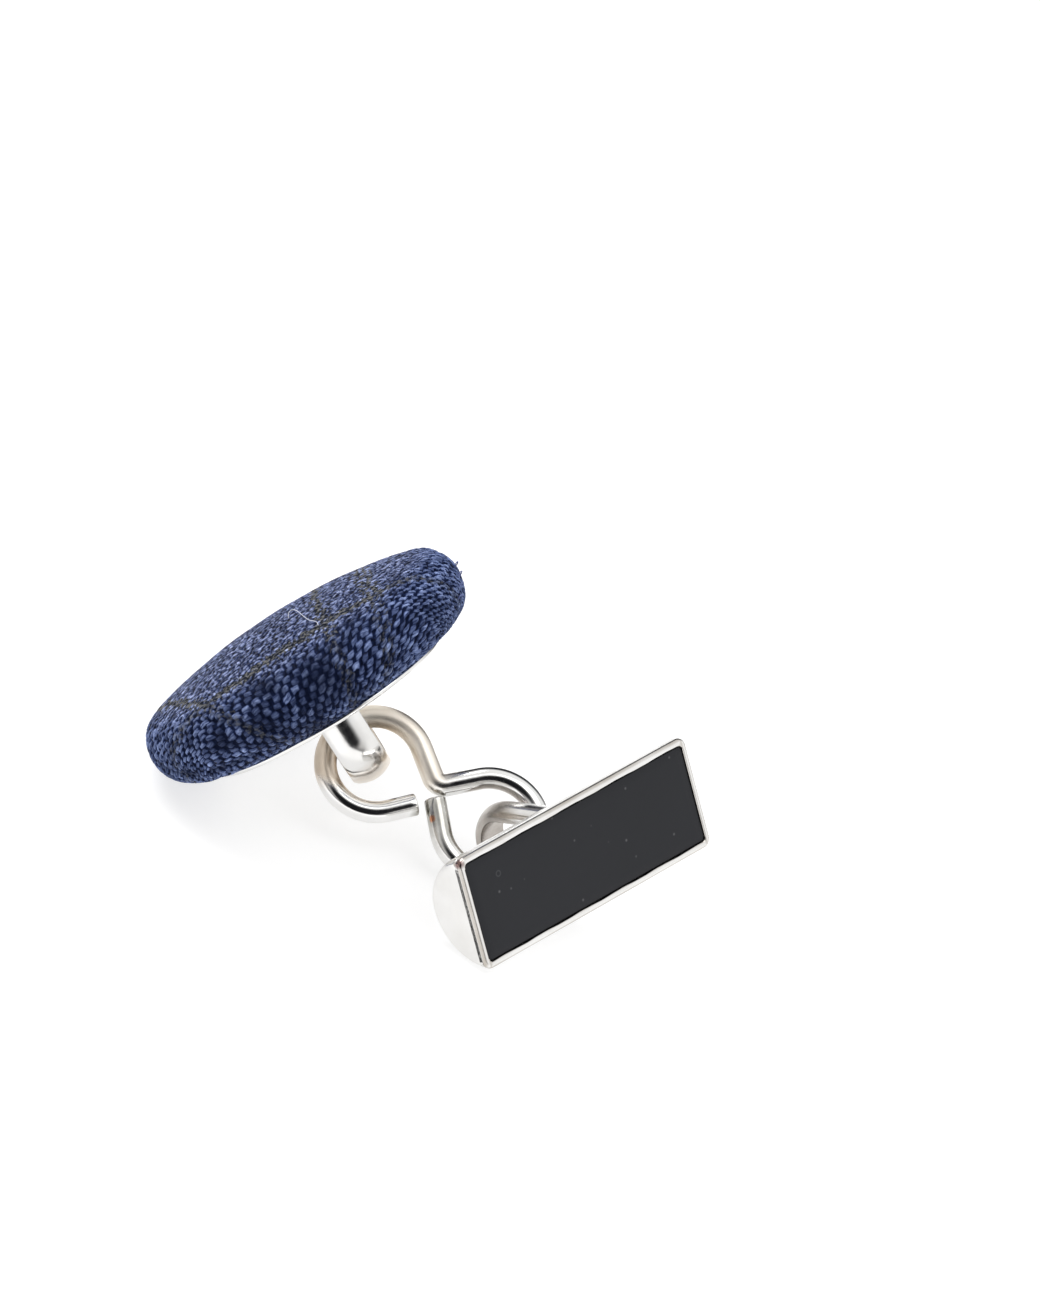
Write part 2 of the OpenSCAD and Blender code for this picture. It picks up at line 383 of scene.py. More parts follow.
def build_silk():
    """The silk over the button, woven in relief, gathered on the rim and turned in at the back."""
    place, r, h, nr, nh = button_profile(RINGS)
    theta = full_turn(SPOKES)
    cos, sin = np.cos(theta), np.sin(theta)
    x, y = np.outer(place, cos), np.outer(place, sin)
    out = place[:, None] + 0 * x
    rim = np.clip((out - RIM_START) / RIM_SPAN, 0, 1)
    # The rows bow and wander, and the cloth lies in low lumps
    bow = ROW_BOW * (x + 1) ** 2 * np.clip(y / ROW_BOW_Y, 0, 1) ** 2
    wander = 0.06 * np.sin(x * 1.7 + np.sin(y * 0.9)) + 0.04 * np.sin(x * 3.9 + y)
    flat_x, flat_y = x, y - bow + wander
    lump = np.sin(x * 0.9 + 1.3) * np.sin(y * 0.8 + 0.4) + 0.6 * np.sin(x * 2.1 - y * 1.3)
    crease, shade = creases_and_shade(x, y, rim)
    # The weave lies below the cloth's own surface, so that it doesn't reach into the floor
    rise = blend(CELL_RISE, rim) * (weave(flat_x, flat_y, blend(SHARE, rim)) - 0.8)
    rise += blend(LUMP_RISE, rim) * lump - CREASE_DEPTH * crease
    rise *= np.clip(out / 0.5, 0, 1) * np.clip((place[-1] - out) / 0.6, 0, 1)
    rr = r[:, None] + rise * nr[:, None]
    hh = h[:, None] + rise * nh[:, None]
    # The first ring closes to one point, so only its last point is kept
    first = SPOKES - 1
    pts = np.stack([rr * cos, rr * sin, hh], -1).reshape(-1, 3)[first:]
    fan = [(0, 1 + j, 1 + (j + 1) % SPOKES) for j in range(SPOKES)]
    bands = [face[::-1] for face in grid_faces(RINGS - 1, SPOKES, 1)]
    obj = new_mesh("silk_cover_woven", pts, fan + bands, BUTTON)
    # For the material: where the rim is, how strong the painted shade is, and the place on the flat cloth
    parts = np.stack([rim, np.clip(shade, 0, 1), 0 * x, 0 * x + 1], -1).reshape(-1, 4)[first:]
    layer = obj.data.color_attributes.new("cloth_parts", "FLOAT_COLOR", "POINT")
    layer.data.foreach_set("color", parts.astype(np.float32).ravel())
    flat = np.stack([flat_x, flat_y], -1).reshape(-1, 2)[first:]
    corner = np.empty(len(obj.data.loops), dtype=np.int32)
    obj.data.loops.foreach_get("vertex_index", corner)
    uv = obj.data.uv_layers.new(name="cloth")
    uv.data.foreach_set("uv", flat[corner].astype(np.float32).ravel())
    return obj


def blend_nodes(tree, pair, rim):
    """Value between that on the dome and that on the rim."""
    return calc(tree, "MULTIPLY_ADD", rim, pair[1] - pair[0], pair[0])


def weave_nodes(tree, place, share):
    """How high the light floats stand, from 1 in their middles to 0 at their ends and sides and in the sunken
    floats, and a number for each float, at the flat cloth's place. The colour drawn from it holds painted
    shading.
    """
    parts = add(tree, "ShaderNodeSeparateXYZ", {0: place})
    rows = calc(tree, "DIVIDE", parts.outputs[1], ROW_PITCH)
    row = calc(tree, "FLOOR", rows)
    v = calc(tree, "MULTIPLY_ADD", calc(tree, "SUBTRACT", rows, row), 2.0, -1.0)
    odd = calc(tree, "MULTIPLY", calc(tree, "FLOORED_MODULO", row, 2.0), 0.5)
    stray = calc(tree, "MULTIPLY", calc(tree, "SINE", calc(tree, "MULTIPLY", row, 2.4)), ROW_STRAY)
    start = calc(tree, "MULTIPLY_ADD", v, LEAN, calc(tree, "ADD", odd, stray))
    along = calc(tree, "ADD", calc(tree, "DIVIDE", parts.outputs[0], FLOAT_PITCH), start)
    cell = calc(tree, "ROUND", along)
    u = calc(tree, "MULTIPLY", calc(tree, "ABSOLUTE", calc(tree, "SUBTRACT", along, cell)), 2.0)
    key = add(tree, "ShaderNodeCombineXYZ", {0: cell, 1: row}).outputs[0]
    seed = add(tree, "ShaderNodeTexWhiteNoise", {"Vector": key}).outputs["Value"]
    share = calc(tree, "MULTIPLY_ADD", calc(tree, "SUBTRACT", seed, 0.5), SHARE_SPREAD, share)
    ends = calc(tree, "SUBTRACT", 1.0, calc(tree, "POWER", calc(tree, "DIVIDE", u, share), 5.0))
    sides = calc(tree, "SUBTRACT", 1.0, calc(tree, "POWER", calc(tree, "ABSOLUTE", v), 3.2))
    tone = calc(tree, "SQRT", calc(tree, "MULTIPLY", calc(tree, "MAXIMUM", ends, 0.0), sides))
    return tone, seed


def pane_nodes(tree, place, grain):
    """1 on the windowpane's lines, falling to 0 beside them, with sides as ragged as grain."""
    parts = add(tree, "ShaderNodeSeparateXYZ", {0: place})
    x, y = parts.outputs[0], parts.outputs[1]
    lines = [(calc(tree, "MULTIPLY_ADD", y, -line["lean"], x), line) for line in CROSS_LINES]
    lines += [(y, line) for line in ROW_LINES]
    nearest = None
    for across, line in lines:
        off = calc(tree, "ABSOLUTE", calc(tree, "SUBTRACT", across, line["at"]))
        off = calc(tree, "SUBTRACT", off, line["half"])
        nearest = off if nearest is None else calc(tree, "MINIMUM", nearest, off)
    ragged = calc(tree, "MULTIPLY_ADD", grain, PANE_RAGGED, -0.5 * PANE_RAGGED)
    return fall(tree, calc(tree, "ADD", nearest, ragged), PANE_BLUR, 0.0)


def row_noise(tree, place, scale, detail):
    """Noise that is as fine along the rows and across them as scale says."""
    scaled = add(tree, "ShaderNodeMapping", {"Vector": place, "Scale": scale}).outputs["Vector"]
    return noise(tree, scaled, 1.0, detail)


def silk_material():
    """Navy floats with fibres, streaks and flecked windowpane lines, all drawn at the flat cloth's place, with
    painted shading on the floats and painted shade over the creases, the gathered places and the rim.
    """
    mat, tree, shader = new_material("silk")
    parts = add(tree, "ShaderNodeAttribute", attribute_name="cloth_parts").outputs["Color"]
    parts = add(tree, "ShaderNodeSeparateColor", {"Color": parts})
    rim, shade = parts.outputs["Red"], parts.outputs["Green"]
    uv = add(tree, "ShaderNodeUVMap", uv_map="cloth").outputs["UV"]

    # Threads stray from their rows, a little more on the dome than on the rim
    stray = vector(tree, "SUBTRACT", noise(tree, uv, STRAY_SCALE, out="Color"), (0.5, 0.5, 0.5))
    reach = blend_nodes(tree, STRAY, rim)
    stray = add(tree, "ShaderNodeVectorMath", {0: stray, "Scale": reach}, operation="SCALE").outputs[0]
    place = vector(tree, "ADD", uv, stray)

    tone, seed = weave_nodes(tree, place, blend_nodes(tree, SHARE, rim))
    fibre = row_noise(tree, place, FIBRE_SCALE, 3.0)
    streak = row_noise(tree, place, STREAK_SCALE, 2.0)
    patch = noise(tree, uv, PATCH_SCALE)
    fleck = noise(tree, place, FLECK_SCALE, 1.0)

    # Colour from how high the floats stand: the sunken and light floats' own tones, and painted shading that
    # darkens each light float towards its ends and sides
    colour = ramp(tree, tone, SILK_TONES_AND_SHADING)
    differ = blend_nodes(tree, DIFFER, rim)
    colour = mix(tree, differ, colour, ramp(tree, seed, FLOAT_TONES), "MULTIPLY")
    colour = mix(tree, 1.0, colour, ramp(tree, fibre, FIBRE_TONES), "MULTIPLY")
    colour = mix(tree, 1.0, colour, ramp(tree, patch, PATCH_TONES), "MULTIPLY")
    colour = mix(tree, rim, colour, RIM_TINT, "MULTIPLY")
    # Painted shade over the creases, the gathered places and the rim
    colour = mix(tree, calc(tree, "MULTIPLY", shade, 0.85), colour, SILK_PAINTED_SHADE)
    streaks = blend_nodes(tree, STREAKS, rim)
    colour = mix(tree, streaks, colour, ramp(tree, streak, STREAK_TONES), "MULTIPLY")
    pane = calc(tree, "MULTIPLY", pane_nodes(tree, place, streak), blend_nodes(tree, PANE, rim))
    colour = mix(tree, pane, colour, ramp(tree, fleck, PANE_TONES))

    relief = calc(tree, "MULTIPLY_ADD", fibre, 0.35, tone)
    fill(tree, shader, {"Base Color": colour,
                        "Roughness": ramp(tree, fibre, ((0.2, neutral(0.45)), (0.8, neutral(0.62)))),
                        "Specular IOR Level": 0.07, "Specular Tint": (*SILK_SHEEN, 1),
                        "Normal": bump(tree, relief, 0.8, 0.00006)})
    return mat


# Round hair-like threads
def catmull(values, fine):
    """Catmull-Rom curve through values."""
    out = []
    last = len(values) - 1
    for f in fine:
        i = min(int(f), last - 1)
        u = f - i
        a, b = values[max(i - 1, 0)], values[i]
        c, d = values[i + 1], values[min(i + 2, last)]
        out.append(0.5 * (2 * b + (c - a) * u + (2 * a - 5 * b + 4 * c - d) * u * u
                          + (3 * b - a - 3 * c + d) * u ** 3))
    return np.array(out)


def thread(name, points, radius):
    """A thin tube through points in the button's axes, rounded by a spline."""
    pts = np.array(points, float)
    fine = np.linspace(0, len(pts) - 1, 6 * len(pts))
    path = np.stack([catmull(pts[:, k], fine) for k in range(3)], -1)
    rings = []
    for i, p in enumerate(path):
        along = Vector(path[min(i + 1, len(path) - 1)] - path[max(i - 1, 0)]).normalized()
        side = along.cross(Vector((0.3, 0.2, 0.93))).normalized()
        up = along.cross(side)
        size = radius * (0.35 if i in (0, len(path) - 1) else 1)
        rings.append([Vector(p) + side * size * math.cos(a) + up * size * math.sin(a) for a in full_turn(6)])
    shape = Shape()
    shape.tube(rings)
    return shape.build(name, BUTTON, 80)


# Metal shapes
def half_round_section(r_in, thick, width):
    """Closed outline (radius, width) of half-round wire: flat inside, crowned outside, soft edges."""
    edge, soft = width / 2, SHANK_SOFT
    outer = r_in + thick - SHANK_CROWN
    half = [(r_in, 0), (r_in, (edge - soft) / 2)]
    for a in np.radians(np.linspace(180, 90, 5)):
        half.append((r_in + soft + soft * math.cos(a), edge - soft + soft * math.sin(a)))
    for a in np.radians(np.linspace(90, 35, 4)):
        half.append((outer - soft + soft * math.cos(a), edge - soft + soft * math.sin(a)))
    for w in np.linspace(0.86 * edge, 0, 10):
        half.append((r_in + thick - SHANK_CROWN * (w / edge) ** 2, w))
    return half + [(r, -w) for r, w in half[-2:0:-1]]


def shank_rings(r_in, thick, width, centre_h, foot_h, off=0.0):
    """Rings of a staple that stands down from z = 0: leg, half turn, leg, with its hole along X."""
    section = half_round_section(r_in, thick, width)
    rings = []
    for z in np.linspace(-foot_h, -centre_h, 6)[:-1]:
        rings.append([(off + w, r, z) for r, w in section])
    for a in np.radians(np.linspace(0, 180, 49)):
        rings.append([(off + w, r * math.cos(a), -centre_h - r * math.sin(a)) for r, w in section])
    for z in np.linspace(-centre_h, -foot_h, 6)[1:]:
        rings.append([(off + w, -r, z) for r, w in section])
    return rings


def squarish(value):
    """Turns a circle's sine or cosine into that of a rounded square."""
    return math.copysign(abs(value) ** 0.6, value)


def add_solder(shape, shank, off, surface, rise):
    """Low fillets of solder round both feet of a shank, on a surface whose height is surface(y)."""
    half_x, half_y = shank["width"] / 2, shank["thick"] / 2
    for side in (-1, 1):
        middle = side * (shank["r_in"] + half_y)
        rings = []
        for a in np.linspace(0, math.pi / 2, 6):
            grow, lift = SOLDER_SPREAD * (1 - math.sin(a)), rise * (1 - math.cos(a))
            ring = []
            for t in full_turn(28):
                spread = grow * (1 + 0.05 * math.sin(3 * t + middle))
                ring.append((off + (half_x + spread) * squarish(math.cos(t)),
                             middle + (half_y + spread) * squarish(math.sin(t)),
                             surface(middle + (half_y + grow) * math.sin(t)) - lift))
            rings.append(ring)
        shape.tube(rings)


def build_button_back():
    """The back plate with its shank soldered on."""
    shape = Shape()
    top = -(BACK_H + PLATE_GAP)
    low = top - PLATE_T
    mid = (top + low) / 2
    outline = [(0.001, top), (PLATE_R - 0.6, top)]
    for a in np.radians(np.linspace(90, -90, 13)):
        outline.append((PLATE_R - PLATE_T / 2 + PLATE_T / 2 * math.cos(a), mid + PLATE_T / 2 * math.sin(a)))
    # A shallow groove inside the plate's edge
    outline += [(PLATE_R - 0.35, low), (PLATE_R - 0.48, low + 0.035), (PLATE_R - 0.65, low + 0.04),
                (PLATE_R - 1.5, low + 0.03), (3.5, low + 0.01), (2.9, low), (0.001, low)]
    shape.tube([[(r * math.cos(t), r * math.sin(t), h) for t in full_turn(160)] for r, h in outline])
    shape.tube(shank_rings(foot_h=-mid, **BUTTON_SHANK))
    add_solder(shape, BUTTON_SHANK, 0, lambda y: low + 0.01, 0.22)
    return shape.build("button_back_plate", BUTTON)


def bend(x, y, r, start, end, step=3):
    """Stations (x, y, heading) round a bend, in degrees."""
    count = math.ceil(abs(end - start) / step)
    turn = math.copysign(90, end - start)
    return [(x + r * math.cos(math.radians(a)), y + r * math.sin(math.radians(a)), a + turn)
            for a in np.linspace(start, end, count + 1)]


def ahead(station, length):
    """The station that lies a length further on the same heading."""
    x, y, heading = station
    a = math.radians(heading)
    return x + length * math.cos(a), y + length * math.sin(a), heading


def link_stations():
    """Stations along the wire's middle, from the end at the button to the end at the bar."""
    reach = LOOP_R + NECK_R
    straight = (LOOP_C - reach * math.cos(math.radians(NECK_A))) / math.sin(math.radians(NECK_A))
    neck_c = reach * math.sin(math.radians(NECK_A)) - straight * math.cos(math.radians(NECK_A))
    first = bend(-LOOP_C, 0, LOOP_R, -BUTTON_END_A, NECK_A - 360)
    neck = bend(0, neck_c, NECK_R, 180 + NECK_A, 360 - NECK_A, 8)
    last = bend(LOOP_C, 0, LOOP_R, 180 - NECK_A, TOGGLE_END_A - 180)
    lead = [ahead(first[0], -BUTTON_END_L * k) for k in (1, 0.75, 0.5, 0.25)]
    tail = [ahead(last[-1], TOGGLE_END_L * k) for k in (0.25, 0.5, 0.75, 1)]
    return lead + first + neck + last + tail


def wire_ring(station, size=1.0):
    """Ring of the wire at a station, in shares of its radius."""
    x, y, heading = station
    a, r = math.radians(heading), size * WIRE_R
    return [(x - r * math.cos(t) * math.sin(a), y + r * math.cos(t) * math.cos(a), r * math.sin(t))
            for t in full_turn(40)]


def build_link():
    """The figure-eight link of round wire."""
    stations = link_stations()
    # The cut ends are slightly rounded: distance from the end, and share of the radius
    ends = ((0.0, 0.86), (0.02, 0.94), (0.06, 0.99), (0.1, 1.0))
    shape = Shape()
    shape.tube([wire_ring(ahead(stations[0], back), size) for back, size in ends]
               + [wire_ring(station) for station in stations[1:-1]]
               + [wire_ring(ahead(stations[-1], -back), size) for back, size in reversed(ends)])
    return shape.build("link_wire", LINK, 50)


def quarter_inset(depth, r):
    """How far a round corner of radius r draws an outline in at depth from its end."""
    return r - math.sqrt(max(r * r - max(r - depth, 0) ** 2, 0))


def bar_section(x, depth_share, recess_half):
    """Outline of the bar's section at x, its recess as deep as depth_share says."""
    end = BAR_L / 2 - abs(x)
    face = -quarter_inset(end, BAR_EDGE_R)
    wide = BAR_R - quarter_inset(end, BAR_CORNER_R)
    deep = BAR_R + face
    seam = [(3.8, 0), (5.4, 0), (SEAM_A - 0.9, 0), (SEAM_A - 0.4, 0.6 * SEAM_H), (SEAM_A, SEAM_H),
            (SEAM_A + 0.4, 0.6 * SEAM_H), (SEAM_A + 0.9, 0)]
    back = seam + [(a, 0) for a in np.linspace(12, 168, 53)] + [(180 - a, cut) for a, cut in seam[::-1]]
    pts = [((wide - cut) * math.cos(math.radians(a)), -(deep - cut) * math.sin(math.radians(a)))
           for a, cut in back]
    turn = [(wide - LIP_R + LIP_R * math.cos(a), face - LIP_R + LIP_R * math.sin(a))
            for a in np.radians(np.linspace(0, 90, 6))]
    half = min(recess_half, wide - LIP_R - LIP_SOFT - 0.05)
    wall = [(half + out * LIP_SOFT, -down * LIP_SOFT) for out, down in LIP_CURVE]
    wall += [(half, -RECESS_H), (half * 0.5, -RECESS_H)]
    wall = [(y, face + max(z, -RECESS_H * depth_share)) for y, z in wall]
    near, far = [0.03 + 0.018 * math.sin(slow * x + a) + 0.004 * math.sin(quick * x + b)
                 for slow, a, quick, b in WALL_WAVES]
    pts += [(-y, z) for y, z in turn]
    pts += [(-(y + near), z) for y, z in wall]
    pts += [(y + far, z) for y, z in wall[::-1]]
    pts += turn[::-1]
    return [(x, y, z) for y, z in pts]


def bar_stations(wall_x):
    """Places along the bar, each with the recess's depth there as a share of the full one."""
    side = [(BAR_L / 2 - d, 0.0) for d in (0, 0.008, 0.03, 0.065, 0.11, 0.16, 0.21)]
    side += [(wall_x + out * LIP_SOFT, down * LIP_SOFT / RECESS_H) for out, down in LIP_CURVE]
    side.append((wall_x - 0.005, 0.999))
    side += [(wall_x - d, 1.0) for d in (0.01, 0.03, 0.07, 0.14, 0.25)]
    side += [(x, 1.0) for x in np.linspace(wall_x - 0.6, 0, 40)]
    return [(-x, depth) for x, depth in side[:-1]] + side[::-1]


def build_toggle():
    """The bar with its recess and soldered shank, and where it is darker along its lip's edges."""
    half = BAR_L / 2
    wall_x = half - LIP_END
    rings = []
    for x, depth in bar_stations(wall_x):
        # The recess's corners are round
        near = max(0.0, RECESS_R - max(0.0, wall_x - abs(x)))
        round_in = RECESS_R - math.sqrt(max(RECESS_R ** 2 - near ** 2, 0))
        rings.append(bar_section(x, depth, BAR_R - LIP_SIDE - min(round_in, RECESS_R)))
    shape = Shape()
    shape.tube(rings)
    shape.tube(shank_rings(foot_h=BAR_R - 0.9, off=TOGGLE_SHANK_OFF, **TOGGLE_SHANK))
    add_solder(shape, TOGGLE_SHANK, TOGGLE_SHANK_OFF,
               lambda y: 0.03 - math.sqrt(BAR_R ** 2 - min(abs(y), 2.85) ** 2), 0.25)
    obj = shape.build("toggle_bar_silver", TOGGLE)
    # Darker along the lip's outer and inner edges
    x, y, z = np.abs(np.array(shape.points)).T
    outer = np.clip(1 - np.minimum(np.abs(y - BAR_R + 0.05), np.abs(x - half + 0.05)) / 0.14, 0, 1)
    inner = np.clip(1 - np.minimum(np.abs(y - BAR_R + LIP_SIDE), np.abs(x - wall_x)) / 0.1, 0, 1)
    edge_dark = np.where((z < 0.25) & (x < half - 0.004), np.maximum(outer, 0.8 * inner), 0)
    layer = obj.data.attributes.new("edge_dark", "FLOAT", "POINT")
    layer.data.foreach_set("value", edge_dark.astype(np.float32))
    return obj


def build_inlay():
    """The inlay, slightly crowned."""
    length = BAR_L - 2 * LIP_END - 2 * INLAY_GAP
    width = BAR_R * 2 - 2 * LIP_SIDE - 2 * INLAY_GAP
    r = RECESS_R - INLAY_GAP
    outline = []
    for cx, cy, a0 in ((1, 1, 0), (-1, 1, 90), (-1, -1, 180), (1, -1, 270)):
        for a in np.radians(np.linspace(a0, a0 + 90, 8)):
            outline.append((cx * (length / 2 - r) + r * math.cos(a), cy * (width / 2 - r) + r * math.sin(a)))
    top = -INLAY_DROP
    levels = ((0.0, INLAY_GAP - RECESS_H), (0.0, top - 0.05), (0.015, top - 0.015), (0.05, top),
              (0.5, top + 0.012), (1.4, top + 0.02))
    shape = Shape()
    shape.tube([[(x * (1 - 2 * inset / length), y * (1 - 2 * inset / width), z) for x, y in outline]
                for inset, z in levels])
    return shape.build("inlay_slab", TOGGLE)


# Metal, inlay and thread materials
# Noise in the silver and in the inlay, in waves for each metre
CLOUD_SCALE, SCRATCH_SCALE, HAZE_SCALE, SPECK_SCALE = 260.0, 2600.0, 180.0, 900.0
# Over which share of its size a tarnished part fades, and a spot
TARNISH_FADE, SPOT_FADE = 0.12, 0.45


def silver_material(name, rough, spots=(), tarnish=(), edge_dark_strength=0.0):
    """Polished silver with cloudy patches and fine scratches. Each part in tarnish has its centre, size, two
    colours and roughness, each spot its centre, size and colour. The edge strength is how much darker the
    marked edges are."""
    mat, tree, shader = new_material(name)
    place = object_place(tree)
    cloud = noise(tree, place, CLOUD_SCALE, 4.0, 0.6)
    scratch = noise(tree, place, SCRATCH_SCALE, 3.0)
    colour = ramp(tree, cloud, ((0.38, SILVER), (0.72, SILVER_DULL)))
    shine = ramp(tree, scratch, ((0.3, neutral(rough[0])), (0.75, neutral(rough[1]))))
    for part in tarnish:
        near = vector(tree, "DISTANCE", place, part["centre"], out="Value")
        mask = fall(tree, near, part["size"] * (1 + TARNISH_FADE), part["size"] * (1 - TARNISH_FADE))
        light, dark = part["colours"]
        colour = mix(tree, mask, colour, ramp(tree, cloud, ((0.35, light), (0.65, dark))))
        shine = mix(tree, mask, shine, neutral(part["rough"]))
    # Darker along the edges that the mesh marks, mottled by the cloud noise
    if edge_dark_strength:
        edge_dark = add(tree, "ShaderNodeAttribute", attribute_name="edge_dark").outputs["Fac"]
        edge_dark = calc(tree, "MULTIPLY", edge_dark, calc(tree, "MULTIPLY", cloud, edge_dark_strength))
        colour = mix(tree, edge_dark, colour, EDGE_DARK)
    for spot in spots:
        near = vector(tree, "DISTANCE", place, spot["centre"], out="Value")
        ragged = calc(tree, "MULTIPLY_ADD", cloud, spot["size"] * 0.9, near)
        mask = fall(tree, ragged, spot["size"] * (1 + SPOT_FADE), spot["size"])
        colour = mix(tree, mask, colour, spot["colour"])
    fill(tree, shader, {"Base Color": colour, "Metallic": 1, "Roughness": shine,
                        "Normal": bump(tree, cloud, 0.12, 0.00006)})
    return mat


def inlay_material():
    """Satin charcoal with pale specks and one faint ring."""
    mat, tree, shader = new_material("inlay")
    place = object_place(tree)
    haze = noise(tree, place, HAZE_SCALE, 3.0)
    speck = add(tree, "ShaderNodeTexVoronoi", {"Vector": place, "Scale": SPECK_SCALE}).outputs["Distance"]
    colour = ramp(tree, haze, ((0.35, INLAY_LOW), (0.7, INLAY_HIGH)))
    dots = ramp(tree, speck, ((0.0, neutral(1)), (0.09, neutral(0))))
    colour = mix(tree, calc(tree, "MULTIPLY", dots, 0.5), colour, INLAY_DOT)
    near = vector(tree, "DISTANCE", place, at(TOGGLE, *RING_MARK), out="Value")
    off = calc(tree, "ABSOLUTE", calc(tree, "SUBTRACT", near, RING_MARK_R * MM))
    colour = mix(tree, fall(tree, off, RING_MARK_W * MM, 0.0, 0.25), colour, INLAY_RING)
    fill(tree, shader, {"Base Color": colour,
                        "Roughness": ramp(tree, haze, ((0.3, neutral(0.5)), (0.7, neutral(0.62)))),
                        "Specular IOR Level": 0.22, "Normal": bump(tree, haze, 0.1, 0.00003)})
    return mat


def thread_material(name, colour):
    """Matt thread, a little uneven in tone."""
    mat, tree, shader = new_material(name)
    dark = tuple(0.75 * c for c in colour)
    shade = ramp(tree, noise(tree, object_place(tree), 3000.0), ((0.3, dark), (0.7, colour)))
    fill(tree, shader, {"Base Color": shade, "Roughness": 0.6})
    return mat


# The pieces, each with its material
def dress(obj, material, slot, *nodes):
    """Gives obj its material and body, and hides the nodes of model.glb that it stands for; slot is not used.
    """
    obj.data.materials.append(material)
    if nodes:
        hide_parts(*nodes)
    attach(obj, "root")


silk = build_silk()
dress(silk, silk_material(), "silk", "silk_cover")

at_tip = dict(centre=at(BUTTON, 0.6, 0.4, -6.6), size=0.0026, rough=0.2, colours=(WARM, GREY))
dress(build_button_back(), silver_material("silver_plate", (0.1, 0.18), tarnish=[at_tip]),
      "silver_plate", "button_back")

link_film = [dict(centre=at(LINK, -5.2, 0.4, 0), size=0.0027, rough=0.3, colours=(WARM, WARM_DARK)),
             dict(centre=at(LINK, -2.3, 2.2, 0), size=0.0030, rough=0.40, colours=(PALE_WARM, PALE_WARM_DARK)),
             dict(centre=at(LINK, 1.1, -1.2, 0), size=0.0015, rough=0.16, colours=(GREY_GREEN, SILVER_DULL))]
worn = dict(centre=at(LINK, 0.53, -1.28, 0.5), size=0.00024, colour=COPPER)
dress(build_link(), silver_material("silver_wire", (0.08, 0.15), spots=[worn], tarnish=link_film),
      "silver_wire", "figure_eight_link")

on_shank = dict(centre=at(TOGGLE, TOGGLE_SHANK_OFF, 0, -5.6), size=0.0027, rough=0.26,
                colours=(GREY, GREY_DARK))
joint = dict(centre=at(TOGGLE, -7.8, 2.75, -0.2), size=0.0003, colour=SOLDER_MARK)
bar_silver = silver_material("silver_bar", (0.14, 0.24), spots=[joint], tarnish=[on_shank], edge_dark_strength=1.5)
dress(build_toggle(), bar_silver, "silver_bar", "toggle_bar")

dress(build_inlay(), inlay_material(), "inlay", "toggle_inlay")

# The lint fibre: x and y on the button's face, and how high it lies above the cloth there
LINT = ((0.60, -2.25, 0.05), (0.73, -1.21, 0.07), (0.98, -1.15, 0.10), (1.17, -2.09, 0.08),
        (1.33, -3.64, 0.06), (1.48, -4.70, 0.07), (1.75, -5.54, 0.08), (1.75, -6.09, 0.05))
LINT_R, THREAD_R = 0.016, 0.03
lint = thread("lint_fibre", [(x, y, dome_height(x * x + y * y) + lift) for x, y, lift in LINT], LINT_R)
dress(lint, thread_material("lint", LINT_WHITE), "silk")

# Loose loops of thread at the rim: where each stands, and its shape (out from the rim, along it, up)
LOOSE_LOOPS = (dict(angle=-5, height=0.3), dict(angle=-10, height=-0.1),
               dict(angle=-15, height=-0.5), dict(angle=-20, height=-0.9))
LOOP_SHAPE = ((-0.05, -0.22, 0), (0.16, -0.16, 0.12), (0.24, 0.02, 0.1), (0.14, 0.17, 0), (-0.05, 0.2, -0.08))
blue_thread = thread_material("blue_thread", THREAD_BLUE)
for number, loop in enumerate(LOOSE_LOOPS):
    a = math.radians(loop["angle"])
    edge = RIM_C + RIM_R * math.cos(math.asin(loop["height"] / RIM_R))
    turned = [((edge + x) * math.cos(a) - y * math.sin(a), (edge + x) * math.sin(a) + y * math.cos(a),
               loop["height"] + z) for x, y, z in LOOP_SHAPE]
    dress(thread("loose_loop_%d" % number, turned, THREAD_R), blue_thread, "silk")


# Floor
def build_floor(size=3.0):
    """A white floor, bright enough to look like the photograph's ground."""
    mesh = bpy.data.meshes.new("floor")
    corners = [(-size, -size, 0), (size, -size, 0), (size, size, 0), (-size, size, 0)]
    mesh.from_pydata(corners, [], [(0, 1, 2, 3)])
    mat, tree, shader = new_material("floor_white")
    tones = ((0.3, neutral(0.40)), (0.7, neutral(FLOOR_WHITE)))
    shade = ramp(tree, noise(tree, object_place(tree), 40.0), tones)
    fill(tree, shader, {"Base Color": shade, "Roughness": 0.9, "Specular IOR Level": 0.1,
                        "Emission Color": (1, 1, 1, 1), "Emission Strength": FLOOR_GLOW})
    mesh.materials.append(mat)
    new_object("floor", mesh)


build_floor()

# Camera: at the photograph's angle above the floor, rolled about its own axis
ELEVATION, ROLL = math.radians(27.6), math.radians(17.4)
DISTANCE, FIELD, SENSOR = 0.4, 0.065, 36
CLIP_START, CLIP_END = 0.01, 20
AIM = Vector((2.28, 0.30, 12.50)) * MM


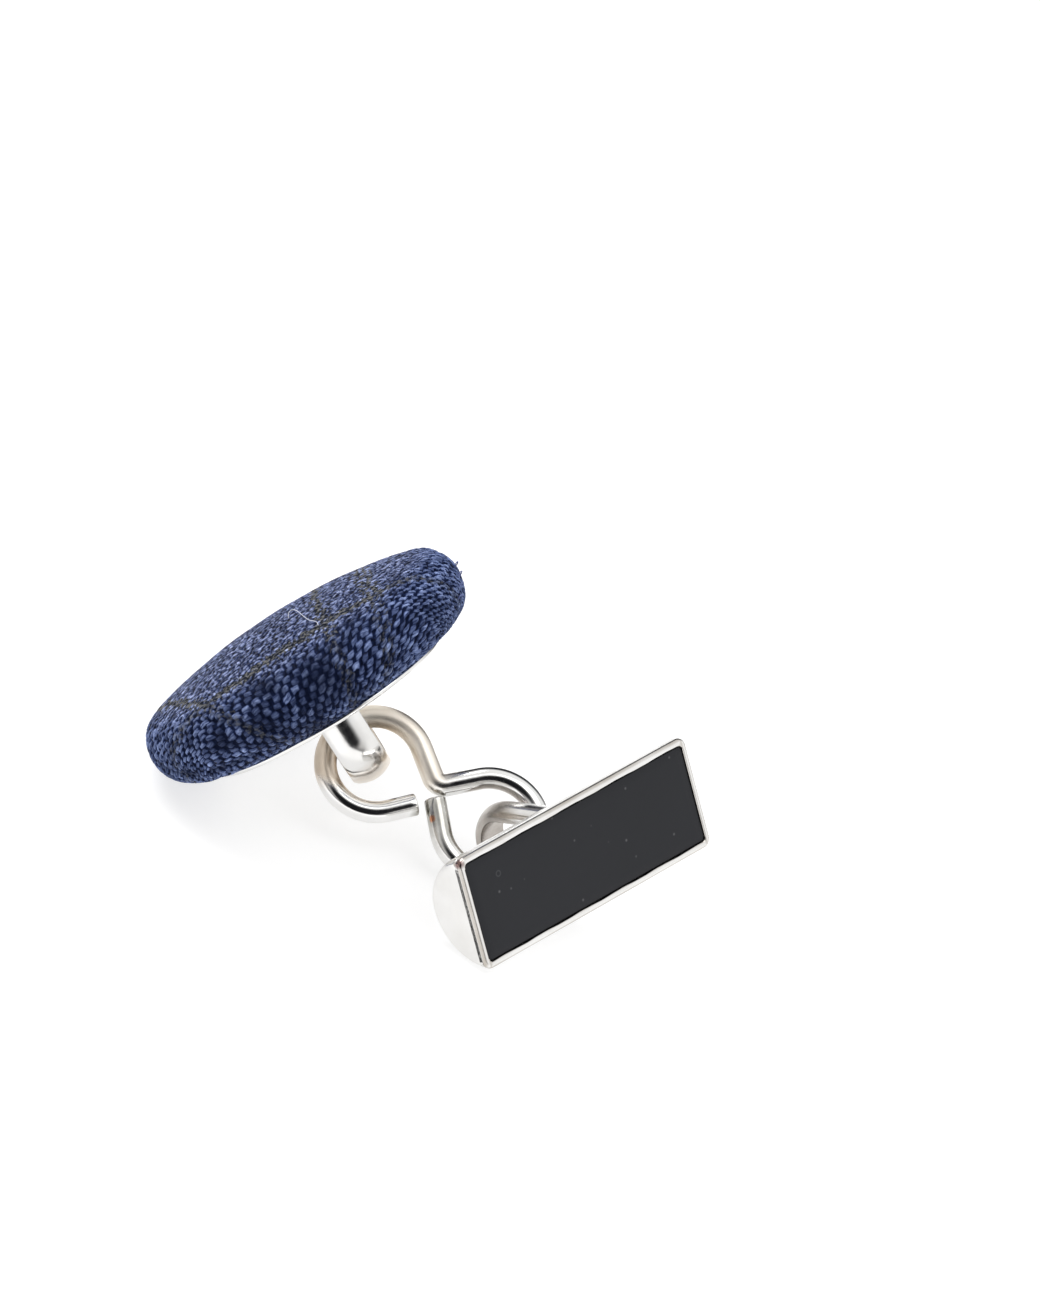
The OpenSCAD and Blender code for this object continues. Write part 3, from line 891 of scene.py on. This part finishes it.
def build_camera():
    """The scene's camera, FIELD metres from top to bottom where it looks."""
    back = Vector((0, -math.cos(ELEVATION), math.sin(ELEVATION)))
    level = Vector((1, 0, 0))
    upright = back.cross(level)
    right = level * math.cos(ROLL) + upright * math.sin(ROLL)
    up = upright * math.cos(ROLL) - level * math.sin(ROLL)
    data = bpy.data.cameras.new("camera")
    data.sensor_fit = "VERTICAL"
    data.sensor_height = SENSOR
    data.lens = SENSOR * DISTANCE / FIELD
    data.clip_start = CLIP_START
    data.clip_end = CLIP_END
    camera = new_object("camera", data)
    turn = Matrix((right, up, back)).transposed().to_4x4()
    camera.matrix_world = Matrix.Translation(AIM + back * DISTANCE) @ turn
    bpy.context.scene.camera = camera


build_camera()


# Lights
def build_light(name, way, size, power):
    """A soft square light that shines on the object from a direction."""
    data = bpy.data.lights.new(name, "AREA")
    data.shape = "SQUARE"
    data.size = size
    data.energy = power
    where = Vector(way).normalized()
    turn = where.to_track_quat("Z", "Y").to_matrix().to_4x4()
    new_object(name, data).matrix_world = Matrix.Translation(where * LIGHT_DISTANCE) @ turn


for light in LIGHTS:
    build_light(**light)


def cone(tree, place, way, full, none):
    """1 in directions within full degrees of way, falling to 0 at none degrees."""
    near = vector(tree, "DOT_PRODUCT", place, tuple(Vector(way).normalized()), out="Value")
    return fall(tree, near, math.cos(math.radians(none)), math.cos(math.radians(full)),
                interpolation_type="SMOOTHSTEP")


def build_world():
    """A light tent: white above and to the right, warm grey to the left, dark behind and at the viewer."""
    world = bpy.data.worlds.new("studio")
    world.use_nodes = True
    tree = world.node_tree
    place = vector(tree, "NORMALIZE", add(tree, "ShaderNodeTexCoord").outputs["Generated"])
    colour = ramp(tree, cone(tree, place, (0, 0, 1), 0, 90), TENT_WALL)
    for patch in TENT_PATCHES:
        mask = cone(tree, place, patch["way"], patch["full"], patch["none"])
        colour = mix(tree, mask, colour, patch["colour"])
    fill(tree, tree.nodes["Background"], {"Color": colour})
    bpy.context.scene.world = world


build_world()
bpy.context.scene.view_settings.view_transform = "Standard"
